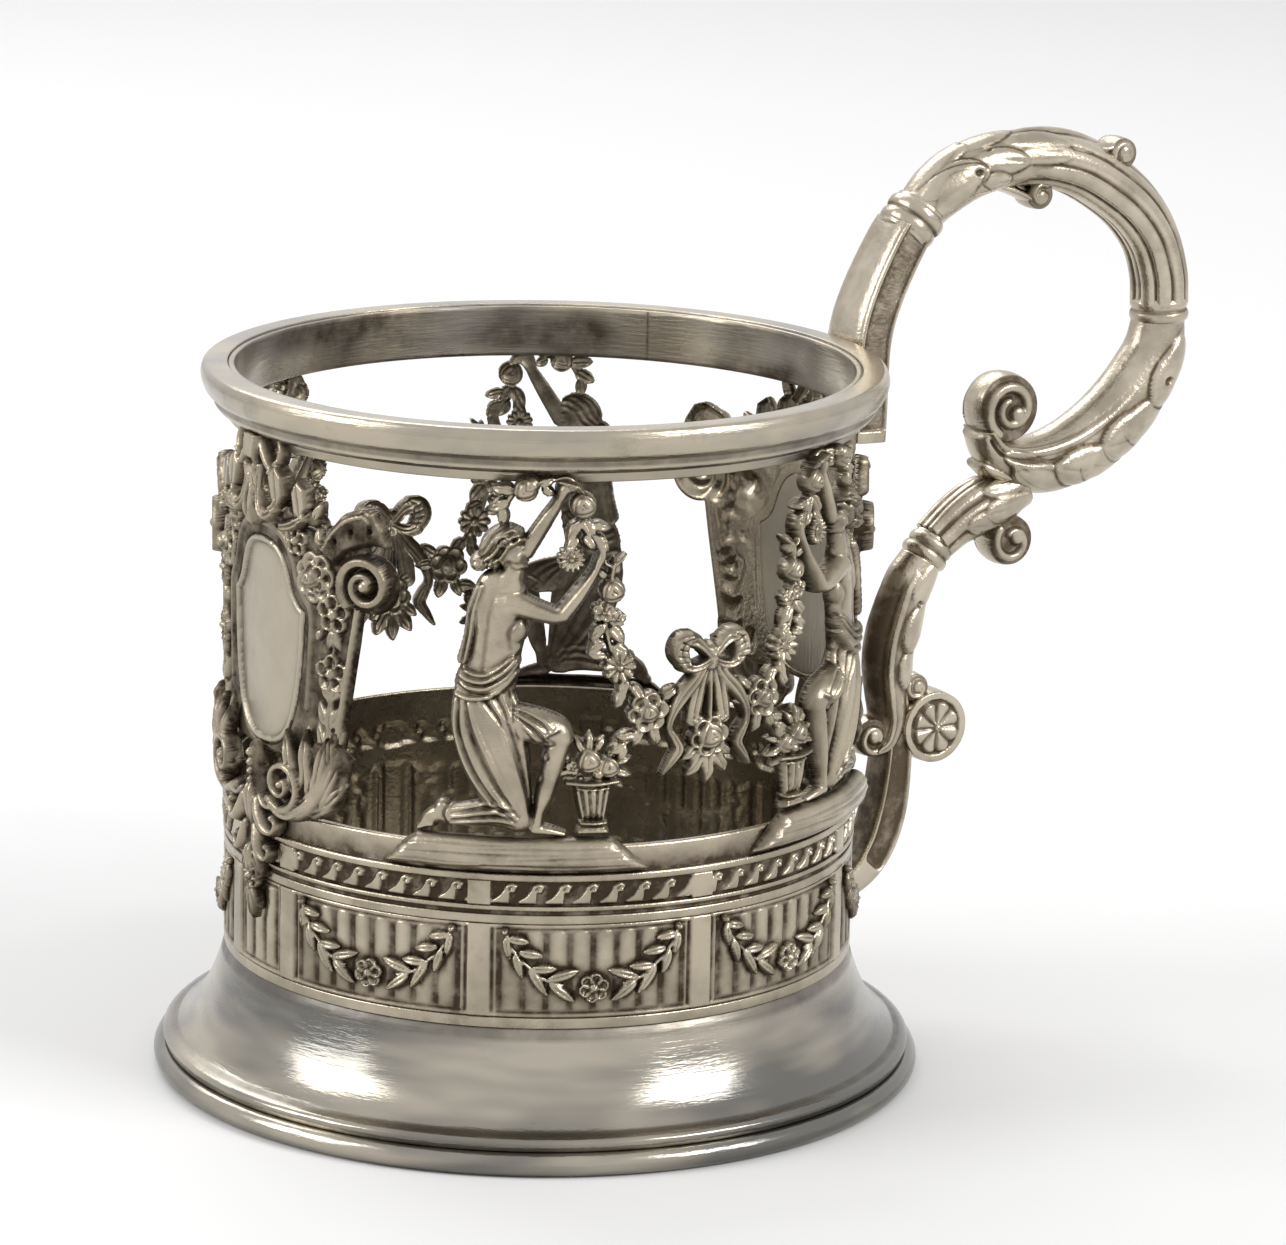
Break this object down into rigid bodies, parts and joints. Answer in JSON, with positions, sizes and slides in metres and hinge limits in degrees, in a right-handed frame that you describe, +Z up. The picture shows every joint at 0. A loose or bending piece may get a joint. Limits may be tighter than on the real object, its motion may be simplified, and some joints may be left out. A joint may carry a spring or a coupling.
{
  "type": "tea glass holder",
  "caption": "Footed metal tea glass holder with an open figured gallery, swagged frieze, shields and a scrolled side handle.",
  "frame": {"origin": "middle of the foot's underside, on the table", "axes": "+Z up along the axis of the glass, +X towards the handle"},
  "size_m": [0.1284, 0.0852, 0.1008],
  "materials": {
    "rim_silver": "plain turned silver, worn bright, with a dark soldered inside",
    "openwork_silver": "cast silver with warm bright high points and brown-black oxide in the hollows",
    "polished_shield": "plain brushed silver, slightly warm",
    "cartouche_silver": "cast silver, oxidised ground and bright edges",
    "frieze_silver": "stamped silver with oxide in the grooves",
    "foot_silver": "spun silver with fine scratches and bluish tarnish",
    "handle_silver": "cast and chased silver, dark in the cuts"
  },
  "bodies": {
    "root": {"foot_rim": "foot_silver", "foot_skirt": "foot_silver", "floor_plate": "foot_silver", "frieze_band": "frieze_silver", "fluted_strip": "frieze_silver", "wave_strip": "frieze_silver", "frieze_swags": "frieze_silver", "gallery_collar": "rim_silver", "rim_hoop": "rim_silver", "front_cartouche": "cartouche_silver", "front_medallion": "polished_shield", "front_crest": "cartouche_silver", "front_pendant": "cartouche_silver", "rear_cartouche": "cartouche_silver", "rear_medallion": "polished_shield", "rear_crest": "cartouche_silver", "rear_pendant": "cartouche_silver", "kneeling_figure_1": "openwork_silver", "kneeling_figure_2": "openwork_silver", "kneeling_figure_3": "openwork_silver", "kneeling_figure_4": "openwork_silver", "figure_mound_1": "frieze_silver", "figure_mound_2": "frieze_silver", "figure_mound_3": "frieze_silver", "figure_mound_4": "frieze_silver", "flower_vase_1": "openwork_silver", "flower_vase_2": "openwork_silver", "flower_vase_3": "openwork_silver", "flower_vase_4": "openwork_silver", "garland_1": "openwork_silver", "garland_2": "openwork_silver", "garland_3": "openwork_silver", "garland_4": "openwork_silver", "ribbon_bow_1": "openwork_silver", "ribbon_bow_2": "openwork_silver", "handle_strap": "handle_silver", "handle_upper_collar": "handle_silver", "handle_loop": "handle_silver", "handle_middle_collar": "handle_silver", "handle_lower_leaf": "handle_silver", "handle_thumb_volute": "handle_silver", "handle_drop_volute": "handle_silver", "handle_stem": "handle_silver", "handle_stem_collar": "handle_silver", "handle_lower_stem": "handle_silver", "handle_rosettes": "handle_silver", "handle_foot_scroll": "handle_silver", "handle_tail": "handle_silver"}
  },
  "joints": []
}
